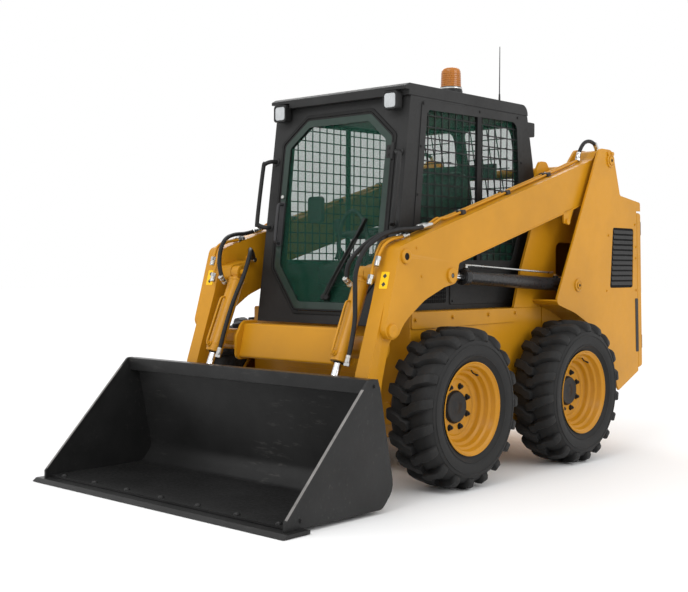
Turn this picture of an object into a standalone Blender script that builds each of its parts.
"""Skid steer loader: frame, uprights, cab, wheels, radius-lift arms, cylinders, coupler and bucket.

Metres, +Z up. The machine faces -Y, its left side is +X, and it stands on Z = 0. Every place below is
measured along the machine from halfway between the axles; the ground datum empty then carries all of it
so that the middle of the whole outline, bucket edge to rear door, is at the origin.
"""

from math import atan2, ceil, cos, hypot, pi, radians, sin, tan

import bmesh
import bpy
from mathutils import Vector

# ---- overall sizes -----------------------------------------------------------------------------------
WHEELBASE = 1.024
FRONT_REACH = 1.837         # mid-wheelbase to the cutting edge's tip
REAR_REACH = 1.395          # mid-wheelbase to the rear door's face
MID_AXLE_Y = (FRONT_REACH - REAR_REACH) / 2

# ---- fits --------------------------------------------------------------------------------------------
TOUCH_GAP = 0.0003          # between pieces that are bolted or welded face to face
RUN_GAP = 0.004             # between pieces that turn past each other at a pin
SWING_GAP = 0.007           # round a door or lid

# ---- wheels ------------------------------------------------------------------------------------------
TYRE_RADIUS = 0.388
TYRE_WIDTH = 0.262
TYRE_OUTER_X = 0.833
TYRE_SEAT_RADIUS = 0.209
RIM_LIP_RADIUS = 0.2235
RIM_LIP_INSET = 0.017
RIM_WALL = 0.008
DISC_DEPTH = 0.112          # wheel disc behind the rim's outer lip
DISC_THICKNESS = 0.012
HUB_RADIUS = 0.078
HUB_LENGTH = 0.012
AXLE_RADIUS = 0.062
AXLE_FLANGE_RADIUS = 0.105
AXLE_FLANGE_LENGTH = 0.022
ROUND_STEPS = 40

# ---- lower frame -------------------------------------------------------------------------------------
TUB_HALF_WIDTH = 0.545
TUB_WALL = 0.105            # each side wall holds a chain case
TUB_FRONT_Y = -0.660
TUB_TOP_Z = 0.845
TUB_BOTTOM_Z = 0.210
TUB_FLOOR = 0.045
TUB_FRONT_WALL = 0.040
ENGINE_BAY_Y = 0.500
ENGINE_BAY_SILL_Z = 0.500
TUB_REAR_Y = 1.325

# ---- uprights ----------------------------------------------------------------------------------------
UPRIGHT_OUTER_X = 0.700
PLATE = 0.012
INNER_PLATE = 0.015
ARM_PIVOT = (0.969, 1.680)
PIVOT_PIN_RADIUS = 0.025
LIFT_BASE = (0.627, 0.965)
CROSS_TUBE_RADIUS = 0.028
CROSS_TUBE = (0.870, 1.627)
REAR_DOOR_THICKNESS = 0.052
REAR_EDGE_TOP = (1.347, 1.399)
REAR_LEAN = 0.0516          # rear face leans out this much for each metre down
GRILLE_LOW = (0.985, 0.946)
GRILLE_HIGH = (1.255, 1.296)

# ---- cab ---------------------------------------------------------------------------------------------
CAB_HALF_WIDTH = 0.466
CAB_WALL = 0.045
CAB_FRONT_LEAN = 0.130      # front face comes forward this much for each metre down
CAB_FRONT_TOP = (-0.575, 1.840)
CAB_TOP_Z = 1.905
CAB_FRONT_FOOT_Z = 0.770
CAB_REAR_Y = 0.560
ROOF_THICKNESS = 0.058
GLASS = 0.006
DOOR_THICKNESS = 0.030
DOOR_FRAME_WIDTH = 0.036
DOOR_HALF_WIDTH = 0.380
DOOR_LOW_Z = 0.836
DOOR_HIGH_Z = 1.840
SEAT_Z = 0.985              # underside of the seat cushion
SEAT_HALF_WIDTH = 0.225

# ---- arms, cylinders, coupler and bucket -------------------------------------------------------------
ARM_INNER_X = 0.552
ARM_OUTER_X = 0.640
GUSSET_THICKNESS = 0.024
ARM_PLATE = 0.026           # inner plate left beside the lift rod's slot
BUCKET_PIN = (-1.055, 0.225)
BUCKET_PIN_BOSS = 0.045
BUCKET_PIN_RADIUS = 0.020
CROSS_MEMBER_HALF = 0.330
LIFT_EYE = (-0.490, 1.021)
LIFT_BARREL_RADIUS = 0.036
LIFT_ROD_RADIUS = 0.021
LIFT_GLAND = 0.959
LIFT_ROD_LENGTH = 1.050
LIFT_EYE_RADIUS = 0.034
LIFT_PIN_RADIUS = 0.018
TILT_X = 0.437
TILT_BASE = (-0.875, 1.030)
TILT_EYE = (-1.120, 0.450)
TILT_BARREL_RADIUS = 0.039
TILT_ROD_RADIUS = 0.019
TILT_GLAND = 0.445
TILT_ROD_LENGTH = 0.515
TILT_EYE_RADIUS = 0.024
TILT_PIN_RADIUS = 0.017
BORE_GAP = 0.0015
EYE_WIDTH = 0.050
HOSE_RADIUS = 0.011

BUCKET_HALF_WIDTH = 0.840
EDGE_HALF_WIDTH = 0.877
BUCKET_SHEET = 0.010
BUCKET_SIDE = 0.012
BUCKET_BACK_LOW = (-1.130, 0.100)
BUCKET_TOP = (-1.250, 0.582)
BUCKET_BACK_LEAN = 0.210
BUCKET_FLOOR_Z = 0.0203
EDGE_LENGTH = 0.150
COUPLER_PLATE = 0.012
COUPLER_HALF_WIDTH = 0.662
EYE_NOTCH_Z = 0.438          # the coupler plate is open above this behind the tilt rods' eyes
EAR = 0.015


# ---- scene and material helpers ----------------------------------------------------------------------
def clear_scene():
    for item in list(bpy.data.objects):
        bpy.data.objects.remove(item, do_unlink=True)


clear_scene()
PARTS = bpy.data.collections.new("skid_steer_loader")
CUTTERS = bpy.data.collections.new("cutters")
for collection in (PARTS, CUTTERS):
    bpy.context.scene.collection.children.link(collection)
BODIES = {}


def finish(name, colour, roughness, metallic=0.0, alpha=1.0):
    material = bpy.data.materials.new(name)
    material.use_nodes = True
    shader = material.node_tree.nodes["Principled BSDF"]
    shader.inputs["Base Color"].default_value = (*colour, 1.0)
    shader.inputs["Roughness"].default_value = roughness
    shader.inputs["Metallic"].default_value = metallic
    shader.inputs["Alpha"].default_value = alpha
    return material


PAINT = finish("machine_paint", (0.66, 0.31, 0.03), 0.42)
CHARCOAL = finish("charcoal_paint", (0.045, 0.045, 0.047), 0.5)
BUCKET_PAINT = finish("bucket_paint", (0.035, 0.035, 0.037), 0.55)
BLACK = finish("black_paint", (0.02, 0.02, 0.02), 0.45)
RUBBER = finish("tyre_rubber", (0.025, 0.025, 0.025), 0.85)
STEEL = finish("chrome_rod", (0.8, 0.8, 0.8), 0.15, 1.0)
GREY_STEEL = finish("grey_steel", (0.2, 0.2, 0.2), 0.5, 0.8)
CAB_GLASS = finish("tinted_glass", (0.10, 0.16, 0.14), 0.05, 0.0, 0.35)
AMBER = finish("amber_lens", (0.9, 0.25, 0.01), 0.2)
VINYL = finish("seat_vinyl", (0.03, 0.03, 0.03), 0.7)


def body(name, at, parent=None):
    """An empty on a joint's axis; AT is (x, y, z) in the machine's own measure."""
    empty = bpy.data.objects.new(name, None)
    empty.empty_display_size = 0.08
    PARTS.objects.link(empty)
    BODIES[empty.name] = Vector(at)
    if parent is not None:
        empty.parent = parent
        empty.location = Vector(at) - BODIES[parent.name]
    return empty


def place(item, owner):
    """Hangs ITEM, which stands in the machine's own measure, on a body's empty."""
    item.parent = owner
    item.location = item.location - BODIES[owner.name]
    return item


def dress(item, material):
    item.data.materials.clear()
    item.data.materials.append(material)
    if item.data.polygons:
        item.data.shade_smooth()
    item.data.set_sharp_from_angle(angle=radians(32))
    return item


def as_guide(item):
    PARTS.objects.unlink(item)
    CUTTERS.objects.link(item)
    item.hide_render = True
    item.display_type = "WIRE"


def boolean(item, other, operation):
    """Joins OTHER to ITEM or cuts it away; OTHER becomes a wire guide on the same body."""
    as_guide(other)
    place(other, item.parent)
    modifier = item.modifiers.new(operation.lower(), "BOOLEAN")
    modifier.operation = operation
    modifier.solver = "EXACT"
    modifier.object = other


def cut(item, *others):
    for other in others:
        boolean(item, other, "DIFFERENCE")
    return item


def join(item, *others):
    for other in others:
        boolean(item, other, "UNION")
    return item


# ---- shape helpers -----------------------------------------------------------------------------------
def rounded(points, arc_step=radians(22)):
    """Closed outline of (u, v) or (u, v, radius) corners, with each radius turned into an arc."""
    outline = []
    count = len(points)
    for i, corner in enumerate(points):
        here = Vector(corner[:2])
        radius = corner[2] if len(corner) > 2 else 0.0
        if radius <= 0.0:
            outline.append(tuple(here))
            continue
        back = (Vector(points[i - 1][:2]) - here).normalized()
        ahead = (Vector(points[(i + 1) % count][:2]) - here).normalized()
        half = back.angle(ahead) / 2
        reach = radius / tan(half)
        centre = here + (back + ahead).normalized() * radius / sin(half)
        start = here + back * reach - centre
        turn = pi - 2 * half
        side = 1.0 if back.x * ahead.y - back.y * ahead.x < 0.0 else -1.0
        steps = max(2, ceil(turn / arc_step))
        for k in range(steps + 1):
            angle = side * turn * k / steps
            outline.append((centre.x + start.x * cos(angle) - start.y * sin(angle),
                            centre.y + start.x * sin(angle) + start.y * cos(angle)))
    return outline


def from_curve(name, data, rotation=(0.0, 0.0, 0.0), location=(0.0, 0.0, 0.0)):
    """Turns curve data into a closed mesh object with its placement baked in."""
    curve = bpy.data.objects.new(name + "_curve", data)
    PARTS.objects.link(curve)
    curve.rotation_euler = rotation
    curve.location = location
    bpy.context.view_layer.update()
    seen = curve.evaluated_get(bpy.context.evaluated_depsgraph_get())
    mesh = bpy.data.meshes.new_from_object(seen)
    mesh.transform(curve.matrix_world)
    bpy.data.objects.remove(curve, do_unlink=True)
    shape = bmesh.new()
    shape.from_mesh(mesh)
    bmesh.ops.remove_doubles(shape, verts=shape.verts, dist=0.00002)
    bmesh.ops.recalc_face_normals(shape, faces=shape.faces)
    shape.to_mesh(mesh)
    shape.free()
    mesh.name = name
    item = bpy.data.objects.new(name, mesh)
    PARTS.objects.link(item)
    return item


def slab(name, outline, low, high, along="X"):
    """Flat outline made LOW to HIGH thick: (y, z) along X, (x, z) along Y, or (x, y) along Z."""
    data = bpy.data.curves.new(name, "CURVE")
    data.dimensions = "2D"
    data.fill_mode = "BOTH"
    data.extrude = (high - low) / 2
    spline = data.splines.new("POLY")
    spline.points.add(len(outline) - 1)
    for point, (u, v) in zip(spline.points, outline):
        point.co = (u, v, 0.0, 1.0)
    spline.use_cyclic_u = True
    middle = (low + high) / 2
    if along == "X":
        return from_curve(name, data, (pi / 2, 0.0, pi / 2), (middle, 0.0, 0.0))
    if along == "Y":
        return from_curve(name, data, (pi / 2, 0.0, 0.0), (0.0, middle, 0.0))
    return from_curve(name, data, (0.0, 0.0, 0.0), (0.0, 0.0, middle))


def box(name, low, high):
    shape = bmesh.new()
    bmesh.ops.create_cube(shape, size=1.0)
    size = Vector(high) - Vector(low)
    middle = (Vector(high) + Vector(low)) / 2
    for vertex in shape.verts:
        vertex.co = Vector((vertex.co.x * size.x, vertex.co.y * size.y, vertex.co.z * size.z)) + middle
    return from_shape(name, shape)


def from_shape(name, shape):
    mesh = bpy.data.meshes.new(name)
    shape.to_mesh(mesh)
    shape.free()
    item = bpy.data.objects.new(name, mesh)
    PARTS.objects.link(item)
    return item


def rod(name, start, end, radius, steps=24):
    """Round bar from START to END."""
    start = Vector(start)
    end = Vector(end)
    shape = bmesh.new()
    bmesh.ops.create_cone(shape, cap_ends=True, segments=steps, radius1=radius, radius2=radius,
                          depth=(end - start).length)
    turn = (end - start).to_track_quat("Z", "Y").to_matrix().to_4x4()
    turn.translation = (start + end) / 2
    bmesh.ops.transform(shape, matrix=turn, verts=shape.verts)
    return from_shape(name, shape)


def tube(name, points, radius, sides=2, corner=0.0):
    """Bent round bar through POINTS, its corners rounded to the CORNER radius."""
    route = [Vector(points[0])]
    for before, here, after in zip(points, points[1:], points[2:]):
        here = Vector(here)
        back = Vector(before) - here
        ahead = Vector(after) - here
        reach = min(corner, back.length * 0.45, ahead.length * 0.45)
        start = here + back.normalized() * reach
        end = here + ahead.normalized() * reach
        for k in range(5):
            t = k / 4
            route.append(start * (1 - t) ** 2 + here * 2 * t * (1 - t) + end * t ** 2)
    route.append(Vector(points[-1]))
    data = bpy.data.curves.new(name, "CURVE")
    data.dimensions = "3D"
    data.bevel_depth = radius
    data.bevel_resolution = sides
    data.use_fill_caps = True
    spline = data.splines.new("POLY")
    spline.points.add(len(route) - 1)
    for point, co in zip(spline.points, route):
        point.co = (*co, 1.0)
    return from_curve(name, data)


def turned(name, profile, at=(0.0, 0.0, 0.0), along="X", steps=ROUND_STEPS):
    """Solid of revolution about an axis through AT. PROFILE is (along, radius) corners that run from the
    axis's low end to its high end down the outer side; it closes on itself unless it starts and ends on the axis."""
    mesh = bpy.data.meshes.new(name)
    corners = [(radius, 0.0, along_axis) for along_axis, radius in reversed(profile)]
    edges = [(i, i + 1) for i in range(len(corners) - 1)]
    if profile[0][1] > 0.0:
        edges.append((len(corners) - 1, 0))
    mesh.from_pydata(corners, edges, [])
    item = bpy.data.objects.new(name, mesh)
    PARTS.objects.link(item)
    screw = item.modifiers.new("turned", "SCREW")
    screw.axis = "Z"
    screw.angle = 2 * pi
    screw.steps = steps
    screw.render_steps = steps
    screw.use_merge_vertices = True
    screw.merge_threshold = 0.00005
    screw.use_smooth_shade = True
    if along == "X":
        item.rotation_euler = (0.0, pi / 2, 0.0)
    item.location = at
    return item


def node(item, owner, material):
    return dress(place(item, owner), material)


def both_sides():
    """The machine's left and right, as a name and the sign of X."""
    return (("left", 1.0), ("right", -1.0))


def span(side, low, high):
    """LOW to HIGH measured outwards from the centre plane, as X values in rising order."""
    return (low, high) if side > 0 else (-high, -low)


def front_face_y(z, depth=0.0):
    """Y of the cab's leaning front face at height Z, DEPTH inside it."""
    return CAB_FRONT_TOP[0] - CAB_FRONT_LEAN * (CAB_FRONT_TOP[1] - z) + depth


def bucket_back_y(z, depth=0.0):
    """Y of the bucket's rear face at height Z, DEPTH behind it."""
    return BUCKET_BACK_LOW[0] - BUCKET_BACK_LEAN * (z - BUCKET_BACK_LOW[1]) + depth


def sided(side, profile):
    """Mirrors an (x, radius) profile to the right of the machine, still from low X to high X."""
    return profile if side > 0 else [(-x, radius) for x, radius in reversed(profile)]


def ribbon(points, thickness):
    """Closed outline of a sheet: POINTS on one face, THICKNESS to their left as they run."""
    offset = []
    for i, point in enumerate(points):
        here = Vector(point)
        before = (here - Vector(points[i - 1])).normalized() if i > 0 else None
        after = (Vector(points[i + 1]) - here).normalized() if i < len(points) - 1 else None
        along = (before or after) + (after or before)
        along.normalize()
        normal = Vector((-along.y, along.x))
        stretch = 1.0 / max(0.3, along.dot(before or after))
        offset.append(tuple(here + normal * thickness * stretch))
    return [tuple(point) for point in points] + offset[::-1]


def bent(points, arc_step=radians(15)):
    """Open line with rounded inner corners, as (u, v) or (u, v, radius)."""
    far = Vector(points[-1][:2]) + Vector((0.0, 10.0))
    closed = rounded([points[0][:2], *points[1:-1], points[-1][:2], tuple(far)], arc_step)
    return closed[:-1]


# ---- lower frame and uprights ------------------------------------------------------------------------
def build_tub(chassis):
    slope = (0.445 - 0.330) / (TUB_REAR_Y - 1.100)
    outline = [(TUB_FRONT_Y, TUB_TOP_Z), (TUB_FRONT_Y, 0.290), (TUB_FRONT_Y + 0.080, TUB_BOTTOM_Z),
               (0.900, TUB_BOTTOM_Z), (1.100, 0.330), (TUB_REAR_Y, 0.330 + slope * (TUB_REAR_Y - 1.100)),
               (TUB_REAR_Y, ENGINE_BAY_SILL_Z), (ENGINE_BAY_Y, ENGINE_BAY_SILL_Z), (ENGINE_BAY_Y, TUB_TOP_Z)]
    tub = node(slab("chassis_tub", rounded(outline), -TUB_HALF_WIDTH, TUB_HALF_WIDTH), chassis, PAINT)
    inside = TUB_HALF_WIDTH - TUB_WALL
    floor_z = TUB_BOTTOM_Z + TUB_FLOOR
    foot_well = box("foot_well_cut", (-inside, TUB_FRONT_Y + TUB_FRONT_WALL, floor_z),
                    (inside, ENGINE_BAY_Y - TUB_FRONT_WALL, TUB_TOP_Z + 0.1))
    bay = [(ENGINE_BAY_Y + 0.030, floor_z), (0.885, floor_z), (1.085, 0.330 + TUB_FLOOR),
           (TUB_REAR_Y - 0.040, 0.330 + slope * (TUB_REAR_Y - 1.140) + TUB_FLOOR),
           (TUB_REAR_Y - 0.040, ENGINE_BAY_SILL_Z + 0.1), (ENGINE_BAY_Y + 0.030, ENGINE_BAY_SILL_Z + 0.1)]
    cut(tub, foot_well, slab("engine_bay_cut", bay, -inside, inside))


def arch_line():
    """The wheel-arch edge of an upright, from its toe over the rear tyre to its rear foot."""
    return [(0.405, 0.878), (0.431, 0.859, 0.03), (0.600, 0.812, 0.25), (0.860, 0.700, 0.25),
            (1.030, 0.545, 0.15), (1.079, 0.372)]


def rear_edge_y(z):
    """Y where the uprights end and the rear door begins."""
    return REAR_EDGE_TOP[0] - REAR_DOOR_THICKNESS - SWING_GAP + REAR_LEAN * (REAR_EDGE_TOP[1] - z)


def tower_top():
    """Outline of both upright plates round the arm pivot, from front to rear."""
    y, z = ARM_PIVOT
    return [(y - 0.123, z + 0.062, 0.045), (y + 0.029, z + 0.062, 0.060), (y + 0.120, z - 0.195, 0.02),
            (y + 0.364, z - 0.227, 0.015)]


def build_upright(chassis, name, side):
    outer_low, outer_high = span(side, UPRIGHT_OUTER_X - PLATE, UPRIGHT_OUTER_X)
    skirt = [(1.103, 0.344), (rear_edge_y(0.443), 0.443)]
    face = rounded([*tower_top(), (1.336, 1.402), (rear_edge_y(1.402), 1.402), *reversed(skirt),
                    *reversed(arch_line()[1:]), (0.405, 0.878, 0.03)])
    upright = node(slab(f"upright_{name}", face, outer_low, outer_high), chassis, PAINT)
    inner_x = TUB_HALF_WIDTH + 0.0015
    low, high = span(side, inner_x - INNER_PLATE, inner_x)
    inner = [(0.225, TUB_TOP_Z + TOUCH_GAP), (0.290, 1.048, 0.30), (0.413, 1.323, 0.30), (0.437, 1.600, 0.04),
             (0.470, 1.650, 0.03), (0.535, 1.650, 0.03), (0.600, 1.570, 0.05), (0.700, 1.590, 0.05),
             *tower_top()[:3], (rear_edge_y(1.450), 1.452), (rear_edge_y(0.505), ENGINE_BAY_SILL_Z + 0.005),
             (ENGINE_BAY_Y + 0.005, ENGINE_BAY_SILL_Z + 0.005), (ENGINE_BAY_Y + 0.005, TUB_TOP_Z + TOUCH_GAP)]
    inner_plate = slab("inner_plate", rounded(inner), low, high)
    low, high = span(side, TUB_HALF_WIDTH + TOUCH_GAP, UPRIGHT_OUTER_X - PLATE / 2)
    inside_edge = [(point[0] + 0.001, point[1] + 0.002, *point[2:]) for point in arch_line()]
    fender = slab("fender", ribbon(bent(inside_edge), 0.010), low, high)
    cap_line = [(ARM_PIVOT[0] + 0.125, ARM_PIVOT[1] - 0.212), (1.330, 1.437)]
    cap = slab("cap", ribbon(cap_line, 0.010), low, high)
    low, high = span(side, inner_x - 0.010, UPRIGHT_OUTER_X + 0.010)
    pivot_pin = rod("pivot_pin", (low, *ARM_PIVOT), (high, *ARM_PIVOT), PIVOT_PIN_RADIUS)
    lift_pin = rod("lift_pin", (low, *LIFT_BASE), (high, *LIFT_BASE), LIFT_PIN_RADIUS)
    bosses = [rod("boss", (span(side, UPRIGHT_OUTER_X - 0.004, UPRIGHT_OUTER_X + 0.006)[0], *centre),
                  (span(side, UPRIGHT_OUTER_X - 0.004, UPRIGHT_OUTER_X + 0.006)[1], *centre), radius, 28)
              for centre, radius in ((ARM_PIVOT, 0.040), (LIFT_BASE, 0.036))]
    join(upright, inner_plate, fender, cap, pivot_pin, lift_pin, *bosses)
    low, high = span(side, inner_x - 0.05, inner_x + 0.02)
    hose_window = slab("hose_window_cut", rounded([(0.640, 0.900, 0.04), (0.640, 1.205, 0.04),
                                                   (0.900, 1.205, 0.04), (0.900, 0.900, 0.04)]), low, high)
    low, high = span(side, UPRIGHT_OUTER_X - 0.05, UPRIGHT_OUTER_X + 0.05)
    vent = slab("vent_cut", grille_outline(), low, high)
    cut(upright, hose_window, vent)
    low, high = span(side, UPRIGHT_OUTER_X - PLATE, UPRIGHT_OUTER_X - 0.003)
    node(slab(f"side_grille_{name}", grille_outline(TOUCH_GAP), low, high), chassis, BLACK)


def grille_outline(inset=0.0):
    (y0, z0), (y1, z1) = GRILLE_LOW, GRILLE_HIGH
    y0, z0, y1, z1 = y0 + inset, z0 + inset, y1 - inset, z1 - inset
    return rounded([(y0, z0, 0.015), (y0 + 0.026, z1, 0.015), (y1, z1, 0.015), (y1, z0, 0.015)])


def build_rear(chassis):
    low_x = TUB_HALF_WIDTH + 0.0015 - INNER_PLATE - TOUCH_GAP
    node(rod("cross_tube", (-low_x, *CROSS_TUBE), (low_x, *CROSS_TUBE), CROSS_TUBE_RADIUS), chassis, PAINT)
    shroud = ribbon([(0.575, 1.262), (0.923, 1.424)], -0.012)
    node(slab("engine_shroud", shroud, -low_x, low_x), chassis, CHARCOAL)
    node(box("engine_block", (-0.220, 0.580, TUB_BOTTOM_Z + TUB_FLOOR + TOUCH_GAP), (0.220, 0.880, 0.950)),
         chassis, GREY_STEEL)
    hood_hinge = (0.0, 0.932, 1.420)
    hood_body = body("hood_hinge", hood_hinge, chassis)
    hood_line = [(0.932, 1.427), (1.090, 1.462), (1.322, 1.452)]
    half = low_x - SWING_GAP + 0.001
    node(slab("engine_hood", ribbon(hood_line, -0.014), -half, half), hood_body, PAINT)
    high_z = REAR_EDGE_TOP[1] - SWING_GAP
    low_z = 0.460
    inner = [(rear_edge_y(z) + SWING_GAP, z) for z in (high_z, low_z)]
    outer = [(rear_edge_y(z) + SWING_GAP + REAR_DOOR_THICKNESS, z) for z in (high_z, low_z + 0.012)]
    half = UPRIGHT_OUTER_X - 0.002
    door_body = body("rear_door_hinge", (half - 0.008, outer[0][0] + REAR_LEAN * 0.46 + 0.004, high_z - 0.46),
                     chassis)
    node(slab("rear_door", rounded([inner[0], (*outer[0], 0.02), (*outer[1], 0.02), inner[1]]), -half, half),
         door_body, PAINT)


# ---- wheels ------------------------------------------------------------------------------------------
def build_wheel(chassis, name, side, axle_y):
    hub_at = (0.0, axle_y, TYRE_RADIUS)
    wheel = body(f"wheel_{name}", hub_at, chassis)
    middle = TYRE_OUTER_X - TYRE_WIDTH / 2
    half = TYRE_WIDTH / 2
    tread = [(0.78, -0.030), (0.64, -0.008), (0.30, 0.0)]
    outer = [(middle + half * t, TYRE_RADIUS + drop) for t, drop in reversed(tread)]
    outer += [(middle + half * 0.93, 0.330), (middle + half, 0.285), (middle + half * 0.93, 0.240),
              (middle + half * 0.80, 0.226), (middle + half * 0.72, TYRE_SEAT_RADIUS)]
    inner = [(2 * middle - x, r) for x, r in reversed(outer)]
    tyre = turned(f"tyre_{name}", sided(side, inner + outer), hub_at)
    node(tyre, wheel, RUBBER)
    lip_x = TYRE_OUTER_X - RIM_LIP_INSET
    seat = TYRE_SEAT_RADIUS - TOUCH_GAP
    inner_lip_x = 2 * middle - lip_x
    disc_x = lip_x - DISC_DEPTH
    bead = middle + half * 0.72
    profile = [(disc_x - DISC_THICKNESS, 0.0), (disc_x - DISC_THICKNESS, seat - RIM_WALL - 0.030),
               (disc_x - DISC_THICKNESS - 0.020, seat - RIM_WALL), (inner_lip_x, seat - RIM_WALL),
               (inner_lip_x, seat), (lip_x - 0.006, seat), (lip_x - 0.006, RIM_LIP_RADIUS - 0.002),
               (lip_x, RIM_LIP_RADIUS), (lip_x + 0.004, RIM_LIP_RADIUS - 0.005), (lip_x, seat - RIM_WALL),
               (bead - 0.035, seat - RIM_WALL - 0.004), (disc_x + 0.010, seat - RIM_WALL - 0.022),
               (disc_x, seat - RIM_WALL - 0.050), (disc_x, HUB_RADIUS), (disc_x + HUB_LENGTH, HUB_RADIUS),
               (disc_x + HUB_LENGTH + 0.006, HUB_RADIUS - 0.012), (disc_x + HUB_LENGTH + 0.006, 0.0)]
    node(turned(f"rim_{name}", sided(side, profile), hub_at), wheel, PAINT)
    stub = [(TUB_HALF_WIDTH + TOUCH_GAP, 0.0), (TUB_HALF_WIDTH + TOUCH_GAP, AXLE_FLANGE_RADIUS),
            (TUB_HALF_WIDTH + AXLE_FLANGE_LENGTH, AXLE_FLANGE_RADIUS),
            (TUB_HALF_WIDTH + AXLE_FLANGE_LENGTH, AXLE_RADIUS),
            (disc_x - DISC_THICKNESS - RUN_GAP, AXLE_RADIUS), (disc_x - DISC_THICKNESS - RUN_GAP, 0.0)]
    node(turned(f"axle_{name}", sided(side, stub), hub_at, steps=28), chassis, BLACK)


# ---- cab ---------------------------------------------------------------------------------------------
def on_front_face(item, z):
    """Leans ITEM, drawn upright with its foot at height 0, onto the cab's front face at height Z."""
    item.rotation_euler = (-atan2(CAB_FRONT_LEAN, 1.0), 0.0, 0.0)
    item.location = (0.0, front_face_y(z), z)
    return item


def door_outline(grow=0.0):
    """The front door's eight sides in (x, height up the face), GROW larger all round."""
    stretch = hypot(1.0, CAB_FRONT_LEAN)
    high = (DOOR_HIGH_Z - DOOR_LOW_Z) * stretch + grow
    half = DOOR_HALF_WIDTH + grow
    chamfer = tan(pi / 8) * grow
    right = [(0.195 + chamfer, -grow), (half, 0.222 - chamfer), (half, high - 0.130 + chamfer - grow),
             (0.222 + chamfer, high)]
    corners = right + [(-x, z) for x, z in reversed(right)]
    return rounded([(x, z, 0.035) for x, z in corners])


def build_cab(chassis):
    foot_y = TUB_FRONT_Y - 0.005
    outline = [(front_face_y(CAB_FRONT_FOOT_Z), CAB_FRONT_FOOT_Z), (front_face_y(CAB_TOP_Z), CAB_TOP_Z),
               (0.462, CAB_TOP_Z), (0.524, 1.637, 0.10), (CAB_REAR_Y, 1.336, 0.10), (CAB_REAR_Y, 1.240, 0.10),
               (0.473, 1.020, 0.10), (0.366, TUB_TOP_Z + TOUCH_GAP), (foot_y, TUB_TOP_Z + TOUCH_GAP),
               (foot_y, CAB_FRONT_FOOT_Z)]
    cab = node(slab("cab_frame", rounded(outline), -CAB_HALF_WIDTH, CAB_HALF_WIDTH), chassis, CHARCOAL)
    inside = CAB_HALF_WIDTH - CAB_WALL
    room = [(front_face_y(0.700, CAB_WALL), 0.700), (front_face_y(2.000, CAB_WALL), 2.000),
            (0.395, 2.000), (0.479, 1.632), (CAB_REAR_Y - CAB_WALL, 1.336), (CAB_REAR_Y - CAB_WALL, 1.252),
            (0.428, 1.035), (0.322, 0.845), (0.322, 0.700)]
    cut(cab, slab("cab_room_cut", room, -inside, inside))
    opening = slab("door_opening_cut", door_outline(SWING_GAP), -0.10, 0.10, "Y")
    cut(cab, on_front_face(opening, DOOR_LOW_Z))
    for name, side in both_sides():
        low, high = span(side, inside - 0.05, CAB_HALF_WIDTH + 0.05)
        cut(cab, slab(f"side_opening_cut_{name}", side_window_outline(), low, high))
        low, high = span(side, CAB_HALF_WIDTH - 0.022, CAB_HALF_WIDTH - 0.022 + GLASS)
        node(slab(f"side_window_{name}", side_window_outline(TOUCH_GAP), low, high), chassis, CAB_GLASS)
        low, high = span(side, 0.026, 0.370)
        opening = rounded([(low, 1.350, 0.03), (high, 1.350, 0.03), (high, 1.850, 0.05), (low, 1.850, 0.03)])
        cut(cab, slab(f"rear_opening_cut_{name}", opening, 0.38, 0.62, "Y"))
    pane = ribbon([(0.4065, 1.900), (0.478, 1.630), (0.510, 1.330)], -GLASS)
    node(slab("rear_window", pane, -inside + 0.03, inside - 0.03), chassis, CAB_GLASS)
    build_roof(chassis)


def side_window_outline(inset=0.0):
    corners = [(-0.462 + inset, 1.868 - inset, 0.03), (0.375 - inset, 1.882 - inset, 0.05),
               (0.396 - inset, 1.600, 0.10), (0.402 - inset, 1.250, 0.05), (0.330 - inset, 1.075 + inset, 0.03),
               (-0.540 + inset, 1.075 + inset, 0.03)]
    return rounded(corners)


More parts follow.
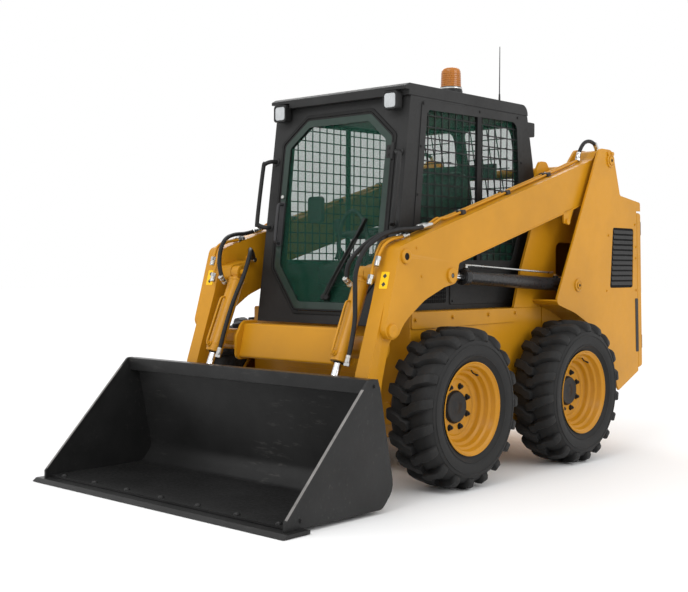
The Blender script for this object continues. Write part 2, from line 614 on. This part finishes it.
def build_roof(chassis):
    low_z = CAB_TOP_Z + TOUCH_GAP
    front = front_face_y(CAB_TOP_Z) - 0.044
    outline = [(front, low_z), (front, CAB_TOP_Z + 0.042), (front + 0.030, CAB_TOP_Z + ROOF_THICKNESS, 0.02),
               (0.464, CAB_TOP_Z + ROOF_THICKNESS, 0.054), (0.464, low_z)]
    roof = node(slab("cab_roof", rounded(outline), -CAB_HALF_WIDTH - 0.002, CAB_HALF_WIDTH + 0.002), chassis, CHARCOAL)
    for name, side in both_sides():
        low, high = span(side, CAB_HALF_WIDTH - 0.018, CAB_HALF_WIDTH + 0.030)
        slope = [(low, CAB_TOP_Z + 0.075), (high, CAB_TOP_Z + 0.075), (high, CAB_TOP_Z + 0.030)]
        if side < 0:
            slope = [(low, CAB_TOP_Z + 0.030), (low, CAB_TOP_Z + 0.075), (high, CAB_TOP_Z + 0.075)]
        cut(roof, slab(f"roof_edge_cut_{name}", slope, -0.8, 0.6, "Y"))
        low, high = span(side, 0.334, 0.520)
        cut(roof, box(f"lamp_notch_cut_{name}", (low, front - 0.05, CAB_TOP_Z - 0.05),
                      (high, front + 0.030, CAB_TOP_Z + 0.026)))
        low, high = span(side, 0.339, 0.429)
        face = rounded([(low, 1.834, 0.015), (high, 1.834, 0.015), (high, 1.924, 0.015), (low, 1.924, 0.015)])
        node(slab(f"front_lamp_{name}", face, front - 0.022, front + 0.028, "Y"), chassis, BLACK)
        top_y = front_face_y(1.625) - 0.0018
        foot_y = front_face_y(1.270) - 0.0018
        rail = [(side * 0.432, top_y, 1.625), (side * 0.432, top_y - 0.020, 1.625),
                (side * 0.476, top_y - 0.058, 1.625), (side * 0.476, foot_y - 0.058, 1.270),
                (side * 0.432, foot_y - 0.020, 1.270), (side * 0.432, foot_y, 1.270)]
        node(tube(f"grab_rail_{name}", rail, 0.009, corner=0.02), chassis, BLACK)
    lamp = [(0.4879, 1.795), (0.556, 1.795, 0.01), (0.556, 1.875, 0.01), (0.4694, 1.875)]
    node(slab("rear_lamp", rounded(lamp), 0.385, 0.455), chassis, BLACK)
    top = CAB_TOP_Z + ROOF_THICKNESS + TOUCH_GAP
    beacon = [(top, 0.0), (top, 0.058), (top + 0.018, 0.058), (top + 0.034, 0.054), (top + 0.074, 0.054),
              (top + 0.078, 0.051), (top + 0.190, 0.049), (top + 0.208, 0.036), (top + 0.213, 0.0)]
    node(turned("beacon", beacon, (0.120, 0.215, 0.0), "Z", 28), chassis, AMBER)
    whip = [(top, 0.0), (top, 0.016), (top + 0.020, 0.012), (top + 0.030, 0.004), (2.306, 0.0025), (2.306, 0.0)]
    node(turned("antenna", whip, (0.300, 0.430, 0.0), "Z", 12), chassis, BLACK)


def build_door(chassis):
    hinge_x = DOOR_HALF_WIDTH + 0.004
    hinge_z = (DOOR_LOW_Z + DOOR_HIGH_Z) / 2
    door = body("door_hinge", (hinge_x, front_face_y(hinge_z) - 0.004, hinge_z), chassis)
    frame = on_front_face(slab("front_door", door_outline(), 0.002, DOOR_THICKNESS, "Y"), DOOR_LOW_Z)
    node(frame, door, BLACK)
    opening = slab("door_glass_cut", door_outline(-DOOR_FRAME_WIDTH), -0.05, 0.08, "Y")
    cut(frame, on_front_face(opening, DOOR_LOW_Z))
    pane = slab("door_glass", door_outline(-DOOR_FRAME_WIDTH - TOUCH_GAP), 0.010, 0.010 + GLASS, "Y")
    node(on_front_face(pane, DOOR_LOW_Z), door, CAB_GLASS)


def build_seat(chassis):
    back_y = 0.150
    outline = [(back_y - 0.365, SEAT_Z), (back_y - 0.385, SEAT_Z + 0.110, 0.04), (back_y, SEAT_Z + 0.095, 0.05),
               (back_y + 0.070, 1.580, 0.05), (back_y + 0.090, 1.640, 0.03), (back_y + 0.160, 1.640, 0.03),
               (back_y + 0.170, 1.500, 0.10), (back_y + 0.120, SEAT_Z + 0.095, 0.06), (back_y + 0.105, SEAT_Z)]
    node(slab("seat", rounded(outline), -SEAT_HALF_WIDTH, SEAT_HALF_WIDTH), chassis, VINYL)
    node(box("seat_base", (-0.200, back_y - 0.300, TUB_BOTTOM_Z + TUB_FLOOR + TOUCH_GAP),
             (0.200, back_y + 0.090, SEAT_Z - TOUCH_GAP)), chassis, CHARCOAL)
    for name, side in both_sides():
        low, high = span(side, 0.275, CAB_HALF_WIDTH - CAB_WALL - TOUCH_GAP)
        outline = rounded([(-0.300, 1.060, 0.03), (-0.300, 0.960, 0.02), (0.280, 0.900), (0.280, 1.140, 0.03),
                           (-0.050, 1.120, 0.05)])
        node(slab(f"console_{name}", outline, low, high), chassis, CHARCOAL)
    bar_body = body("lap_bar_pivot", (0.0, 0.250, 1.290), chassis)
    bar = [(0.405, 0.250, 1.290), (0.330, 0.235, 1.290), (0.330, -0.240, 1.235), (-0.330, -0.240, 1.235),
           (-0.330, 0.235, 1.290), (-0.405, 0.250, 1.290)]
    node(tube("lap_bar", bar, 0.014, corner=0.06), bar_body, BLACK)


# ---- loader arms -------------------------------------------------------------------------------------
def build_arms(chassis):
    arms = body("arm_pivot", (0.0, *ARM_PIVOT), chassis)
    py, pz = ARM_PIVOT
    by, bz = BUCKET_PIN
    low_boss = (-0.937, 0.768)
    boom = rounded([(-0.881, 1.154, 0.045), (-0.760, 1.195, 0.10), (0.835, 1.678, 0.06), (0.880, pz + 0.055, 0.05),
                    (py + 0.066, pz + 0.055, 0.062), (py + 0.066, pz - 0.075, 0.06), (0.985, 1.484, 0.05),
                    (0.880, 1.456, 0.05), (-0.430, 1.082, 0.02), (-0.448, 0.985, 0.035), (-0.545, 0.965, 0.05),
                    (-0.700, 0.905, 0.25), (-0.850, 0.805, 0.20), (low_boss[0] + 0.050, low_boss[1] - 0.020, 0.04),
                    (low_boss[0] - 0.010, low_boss[1] - 0.052, 0.045), (low_boss[0] - 0.052, low_boss[1], 0.04)])
    leg = rounded([(-0.885, 1.100), (-1.065, 0.566, 0.10), (by - BUCKET_PIN_BOSS, bz + 0.03),
                   (by - BUCKET_PIN_BOSS, bz - BUCKET_PIN_BOSS, 0.04),
                   (by + BUCKET_PIN_BOSS, bz - BUCKET_PIN_BOSS, 0.04), (by + BUCKET_PIN_BOSS, bz + 0.03),
                   (-0.965, 0.543, 0.10), (-0.920, 0.700), (-0.840, 0.830), (-0.800, 1.000)])
    outer_x = ARM_OUTER_X + GUSSET_THICKNESS
    solids = []
    for name, side in both_sides():
        low, high = span(side, ARM_INNER_X, outer_x)
        beam = slab(f"boom_{name}", boom, low, high)
        solids.append(beam)
        low, high = span(side, ARM_INNER_X, ARM_OUTER_X - 0.009)
        solids.append(slab(f"leg_{name}", leg, low, high))
        low, high = span(side, outer_x - 0.004, outer_x + 0.006)
        for centre, radius in (((-0.841, 1.110), 0.036), (LIFT_EYE, 0.038), (low_boss, 0.034)):
            solids.append(rod("boss", (low, *centre), (high, *centre), radius, 28))
        low, high = span(side, TILT_X - EYE_WIDTH / 2 - 0.024, ARM_INNER_X + 0.010)
        solids.append(rod("tilt_pin", (low, *TILT_BASE), (high, *TILT_BASE), TILT_PIN_RADIUS, 20))
        low, high = span(side, TILT_X + EYE_WIDTH / 2 + RUN_GAP, ARM_INNER_X + 0.010)
        ear = rounded([(TILT_BASE[0] - 0.034, TILT_BASE[1] - 0.034, 0.03), (TILT_BASE[0] - 0.034, TILT_BASE[1] + 0.034, 0.03),
                       (-0.790, TILT_BASE[1] + 0.060), (-0.790, TILT_BASE[1] - 0.060)])
        solids.append(slab(f"tilt_ear_{name}", ear, low, high))
        low, high = span(side, CROSS_MEMBER_HALF - 0.010, ARM_INNER_X + 0.010)
        solids.append(rod("cross_tube_end", (low, -0.885, 0.680), (high, -0.885, 0.680), 0.055, 28))
        low, high = span(side, CROSS_MEMBER_HALF, CROSS_MEMBER_HALF + 0.016)
        flange = rounded([(-0.988, 0.583, 0.03), (-0.988, 0.700, 0.05), (-0.940, 0.784, 0.05), (-0.835, 0.784, 0.03),
                          (-0.835, 0.583, 0.03)])
        solids.append(slab(f"flange_{name}", flange, low, high))
    beam = rounded([(-0.972, 0.593, 0.012), (-0.930, 0.768, 0.012), (-0.845, 0.768, 0.012), (-0.845, 0.593, 0.012)])
    frame = node(slab("loader_arms", beam, -CROSS_MEMBER_HALF - 0.004, CROSS_MEMBER_HALF + 0.004), arms, PAINT)
    join(frame, *solids)
    for name, side in both_sides():
        low, high = span(side, ARM_INNER_X + ARM_PLATE, ARM_OUTER_X)
        cut(frame, box(f"rod_slot_cut_{name}", (low, -0.560, 0.900), (high, -0.380, 1.074)))
        low, high = span(side, ARM_INNER_X - 0.02, outer_x + 0.02)
        cut(frame, rod(f"pivot_bore_cut_{name}", (low, py, pz), (high, py, pz), PIVOT_PIN_RADIUS + BORE_GAP))
        cut(frame, rod(f"bucket_bore_cut_{name}", (low, by, bz), (high, by, bz),
                       BUCKET_PIN_RADIUS + BORE_GAP, 20))
    return arms


# ---- cylinders ---------------------------------------------------------------------------------------
def cylinder_part(name, profile, centre_x, base, eye, owner, material):
    """A turned barrel or rod whose profile's axis runs from BASE towards EYE, both (y, z)."""
    item = turned(name, profile, along="Z", steps=24)
    item.rotation_euler = (Vector((0.0, eye[0] - base[0], eye[1] - base[1])).to_track_quat("Z", "X")).to_euler()
    item.location = (centre_x, *base)
    return node(item, owner, material)


def build_cylinder(kind, name, side, owner, centre_x, base, eye, radius, gland, rod_radius, rod_length,
                   base_radius, eye_radius, base_bore, colour):
    length = hypot(eye[0] - base[0], eye[1] - base[1])
    bore = rod_radius + BORE_GAP
    barrel_body = body(f"{kind}_barrel_{name}_pivot", (side * centre_x, *base), owner)
    neck = EYE_WIDTH / 2 - 0.001
    bore_end = base_radius + 0.016
    barrel_profile = [(base_bore + 0.005, 0.0), (base_bore + 0.005, neck), (base_radius + 0.004, neck),
                      (base_radius + 0.012, radius), (gland - 0.030, radius), (gland - 0.028, radius + 0.004),
                      (gland, radius + 0.004), (gland, bore), (bore_end, bore), (bore_end, 0.0)]
    barrel = cylinder_part(f"{kind}_barrel_{name}", barrel_profile, side * centre_x, base, eye, barrel_body, colour)
    low, high = side * centre_x - EYE_WIDTH / 2, side * centre_x + EYE_WIDTH / 2
    join(barrel, rod("eye", (low, *base), (high, *base), base_radius, 24))
    cut(barrel, rod("eye_bore_cut", (low - 0.02, *base), (high + 0.02, *base), base_bore, 20))
    rod_body = body(f"{kind}_rod_{name}_slide", (side * centre_x, *eye), barrel_body)
    rod_profile = [(length - rod_length, 0.0), (length - rod_length, rod_radius), (length - eye_radius * 0.6, rod_radius),
                   (length - eye_radius * 0.6, 0.0)]
    shaft = cylinder_part(f"{kind}_rod_{name}", rod_profile, side * centre_x, base, eye, rod_body, STEEL)
    join(shaft, rod("eye", (low, *eye), (high, *eye), eye_radius, 24))
    return barrel, shaft


def build_cylinders(chassis, arms):
    lift_x = (ARM_INNER_X + ARM_PLATE + ARM_OUTER_X) / 2
    for name, side in both_sides():
        build_cylinder("lift", name, side, chassis, lift_x, LIFT_BASE, LIFT_EYE, LIFT_BARREL_RADIUS, LIFT_GLAND,
                       LIFT_ROD_RADIUS, LIFT_ROD_LENGTH, 0.045, LIFT_EYE_RADIUS, LIFT_PIN_RADIUS + BORE_GAP, BLACK)
        build_cylinder("tilt", name, side, arms, TILT_X, TILT_BASE, TILT_EYE, TILT_BARREL_RADIUS, TILT_GLAND,
                       TILT_ROD_RADIUS, TILT_ROD_LENGTH, 0.034, TILT_EYE_RADIUS, TILT_PIN_RADIUS + BORE_GAP, PAINT)


# ---- hoses -------------------------------------------------------------------------------------------
def flowing(points, per_span=3):
    """A smooth route through POINTS, PER_SPAN steps between each two."""
    knots = [Vector(point) for point in points]
    ends = [knots[0] * 2 - knots[1], *knots, knots[-1] * 2 - knots[-2]]
    route = []
    for a, b, c, d in zip(ends, ends[1:], ends[2:], ends[3:]):
        for k in range(per_span):
            t = k / per_span
            route.append(0.5 * (2 * b + (c - a) * t + (2 * a - 5 * b + 4 * c - d) * t * t
                                + (3 * b - a - 3 * c + d) * t ** 3))
    route.append(knots[-1])
    return route


def build_hoses(arms):
    """Hoses whose two ends are both held by the arms, each on its own route."""
    tower = [(0.602, 0.772, 1.674), (0.602, 0.797, 1.730), (0.602, 0.842, 1.776), (0.602, 0.902, 1.792),
             (0.602, 0.960, 1.780), (0.602, 0.990, 1.748)]
    elbow = [(0.578, -0.600, 1.262), (0.574, -0.700, 1.240), (0.560, -0.800, 1.230), (0.530, -0.885, 1.205),
             (0.490, -0.955, 1.150), (0.452, -0.998, 1.075), (0.437, -0.994, 1.005), (0.437, -0.972, 0.978)]
    outer_leg = [(0.606, -0.600, 1.262), (0.603, -0.700, 1.243), (0.592, -0.800, 1.236), (0.566, -0.895, 1.208),
                 (0.530, -0.975, 1.140), (0.507, -1.010, 1.040), (0.502, -1.010, 0.930), (0.503, -1.012, 0.820),
                 (0.504, -1.036, 0.710), (0.502, -1.066, 0.610)]
    inner_leg = [(-0.5505, -0.700, 1.100), (-0.535, -0.700, 1.100), (-0.500, -0.712, 1.110), (-0.450, -0.780, 1.150), (-0.382, -0.850, 1.120),
                 (-0.370, -0.900, 1.020), (-0.370, -0.965, 0.900), (-0.372, -1.012, 0.790), (-0.375, -1.045, 0.690),
                 (-0.378, -1.072, 0.600)]
    for name, side in both_sides():
        for kind, points in (("tower", tower), ("elbow", elbow)):
            route = flowing([(side * x, y, z) for x, y, z in points])
            node(tube(f"{kind}_hose_{name}", route, HOSE_RADIUS, 1), arms, RUBBER)
    node(tube("leg_hose_left", flowing(outer_leg), HOSE_RADIUS, 1), arms, RUBBER)
    node(tube("leg_hose_right", flowing(inner_leg), HOSE_RADIUS, 1), arms, RUBBER)


# ---- coupler and bucket ------------------------------------------------------------------------------
def build_bucket(arms):
    bucket = body("bucket_pin", (0.0, *BUCKET_PIN), arms)
    low_y, low_z = BUCKET_BACK_LOW
    top_y, top_z = BUCKET_TOP
    back_top_z = top_z - 0.035
    heel_y = low_y - 0.075
    outer_line = [(-FRONT_REACH + EDGE_LENGTH * 0.5, BUCKET_FLOOR_Z), (heel_y, BUCKET_FLOOR_Z, 0.05),
                  (bucket_back_y(low_z), low_z, 0.08), (bucket_back_y(back_top_z), back_top_z)]
    shell_line = bent(outer_line)
    shell = node(slab("bucket", ribbon(shell_line, BUCKET_SHEET), -BUCKET_HALF_WIDTH, BUCKET_HALF_WIDTH),
                 bucket, BUCKET_PAINT)
    lip = rounded([(bucket_back_y(back_top_z) + 0.0005, back_top_z - 0.012), (top_y + 0.012, top_z), (top_y - 0.040, top_z),
                   (top_y - 0.040, top_z - 0.012), (bucket_back_y(back_top_z) - BUCKET_SHEET - 0.0005, back_top_z - 0.016)])
    join(shell, slab("top_lip", lip, -BUCKET_HALF_WIDTH, BUCKET_HALF_WIDTH))
    side_plate = rounded([(-FRONT_REACH + 0.045, BUCKET_FLOOR_Z - 0.001), (heel_y, BUCKET_FLOOR_Z - 0.001, 0.05),
                          (bucket_back_y(low_z, 0.001), low_z, 0.08), (top_y + 0.022, top_z - 0.030, 0.02),
                          (top_y - 0.005, top_z + 0.002, 0.02), (top_y - 0.045, top_z + 0.002, 0.03),
                          (-FRONT_REACH + 0.045, 0.055)])
    for name, side in both_sides():
        low, high = span(side, BUCKET_HALF_WIDTH - BUCKET_SIDE, BUCKET_HALF_WIDTH + 0.001)
        join(shell, slab(f"side_plate_{name}", side_plate, low, high))
    edge_high = BUCKET_FLOOR_Z - TOUCH_GAP
    edge = [(-FRONT_REACH, 0.003), (-FRONT_REACH + EDGE_LENGTH, 0.003), (-FRONT_REACH + EDGE_LENGTH, edge_high - 0.001),
            (-FRONT_REACH + 0.022, edge_high - 0.001)]
    node(slab("cutting_edge", edge, -EDGE_HALF_WIDTH, EDGE_HALF_WIDTH), bucket, BUCKET_PAINT)
    build_coupler(bucket)


def build_coupler(bucket):
    low_z = 0.135
    high_z = 0.500
    py, pz = BUCKET_PIN
    ty, tz = TILT_EYE
    face = [(bucket_back_y(z, TOUCH_GAP * 2), z) for z in (high_z, low_z)]
    plate = node(slab("coupler", ribbon(face, COUPLER_PLATE), -COUPLER_HALF_WIDTH, COUPLER_HALF_WIDTH), bucket, CHARCOAL)
    back = COUPLER_PLATE / 2
    pin_ear = rounded([(bucket_back_y(pz + 0.090, back), pz + 0.090), (py + 0.034, pz + 0.036, 0.035),
                       (py + 0.040, pz - 0.040, 0.040), (py - 0.030, pz - 0.050, 0.02),
                       (bucket_back_y(pz - 0.070, back), pz - 0.070)])
    eye_ear = rounded([(bucket_back_y(tz + 0.040, back), tz + 0.040), (ty + 0.030, tz + 0.032, 0.030),
                       (ty + 0.030, tz - 0.030, 0.030), (bucket_back_y(tz - 0.090, back), tz - 0.090)])
    for name, side in both_sides():
        leg_low = ARM_INNER_X - RUN_GAP
        leg_high = ARM_OUTER_X - 0.009 + RUN_GAP
        for low, high in (span(side, leg_low - EAR, leg_low), span(side, leg_high, leg_high + EAR)):
            join(plate, slab(f"pin_ear_{name}", pin_ear, low, high))
        low, high = span(side, leg_low - EAR / 2, leg_high + EAR / 2)
        join(plate, rod("bucket_pin", (low, py, pz), (high, py, pz), BUCKET_PIN_RADIUS, 20))
        inner = TILT_X - EYE_WIDTH / 2 - RUN_GAP
        outer = TILT_X + EYE_WIDTH / 2 + RUN_GAP
        for low, high in (span(side, inner - EAR, inner), span(side, outer, outer + EAR)):
            join(plate, slab(f"eye_ear_{name}", eye_ear, low, high))
        low, high = span(side, inner - 0.003, outer + 0.003)
        cut(plate, box(f"eye_notch_cut_{name}", (low, bucket_back_y(high_z) - 0.05, EYE_NOTCH_Z),
                       (high, bucket_back_y(low_z), high_z + 0.05)))


def main():
    bpy.context.view_layer.update()
    datum = bpy.data.objects.new("ground_datum", None)
    PARTS.objects.link(datum)
    BODIES[datum.name] = Vector((0.0, -MID_AXLE_Y, 0.0))
    chassis = body("chassis", (0.0, 0.0, 0.0), datum)
    build_tub(chassis)
    for name, side in both_sides():
        build_upright(chassis, name, side)
        build_wheel(chassis, f"front_{name}", side, -WHEELBASE / 2)
        build_wheel(chassis, f"rear_{name}", side, WHEELBASE / 2)
    build_rear(chassis)
    build_cab(chassis)
    build_door(chassis)
    build_seat(chassis)
    arms = build_arms(chassis)
    build_cylinders(chassis, arms)
    build_hoses(arms)
    build_bucket(arms)


main()
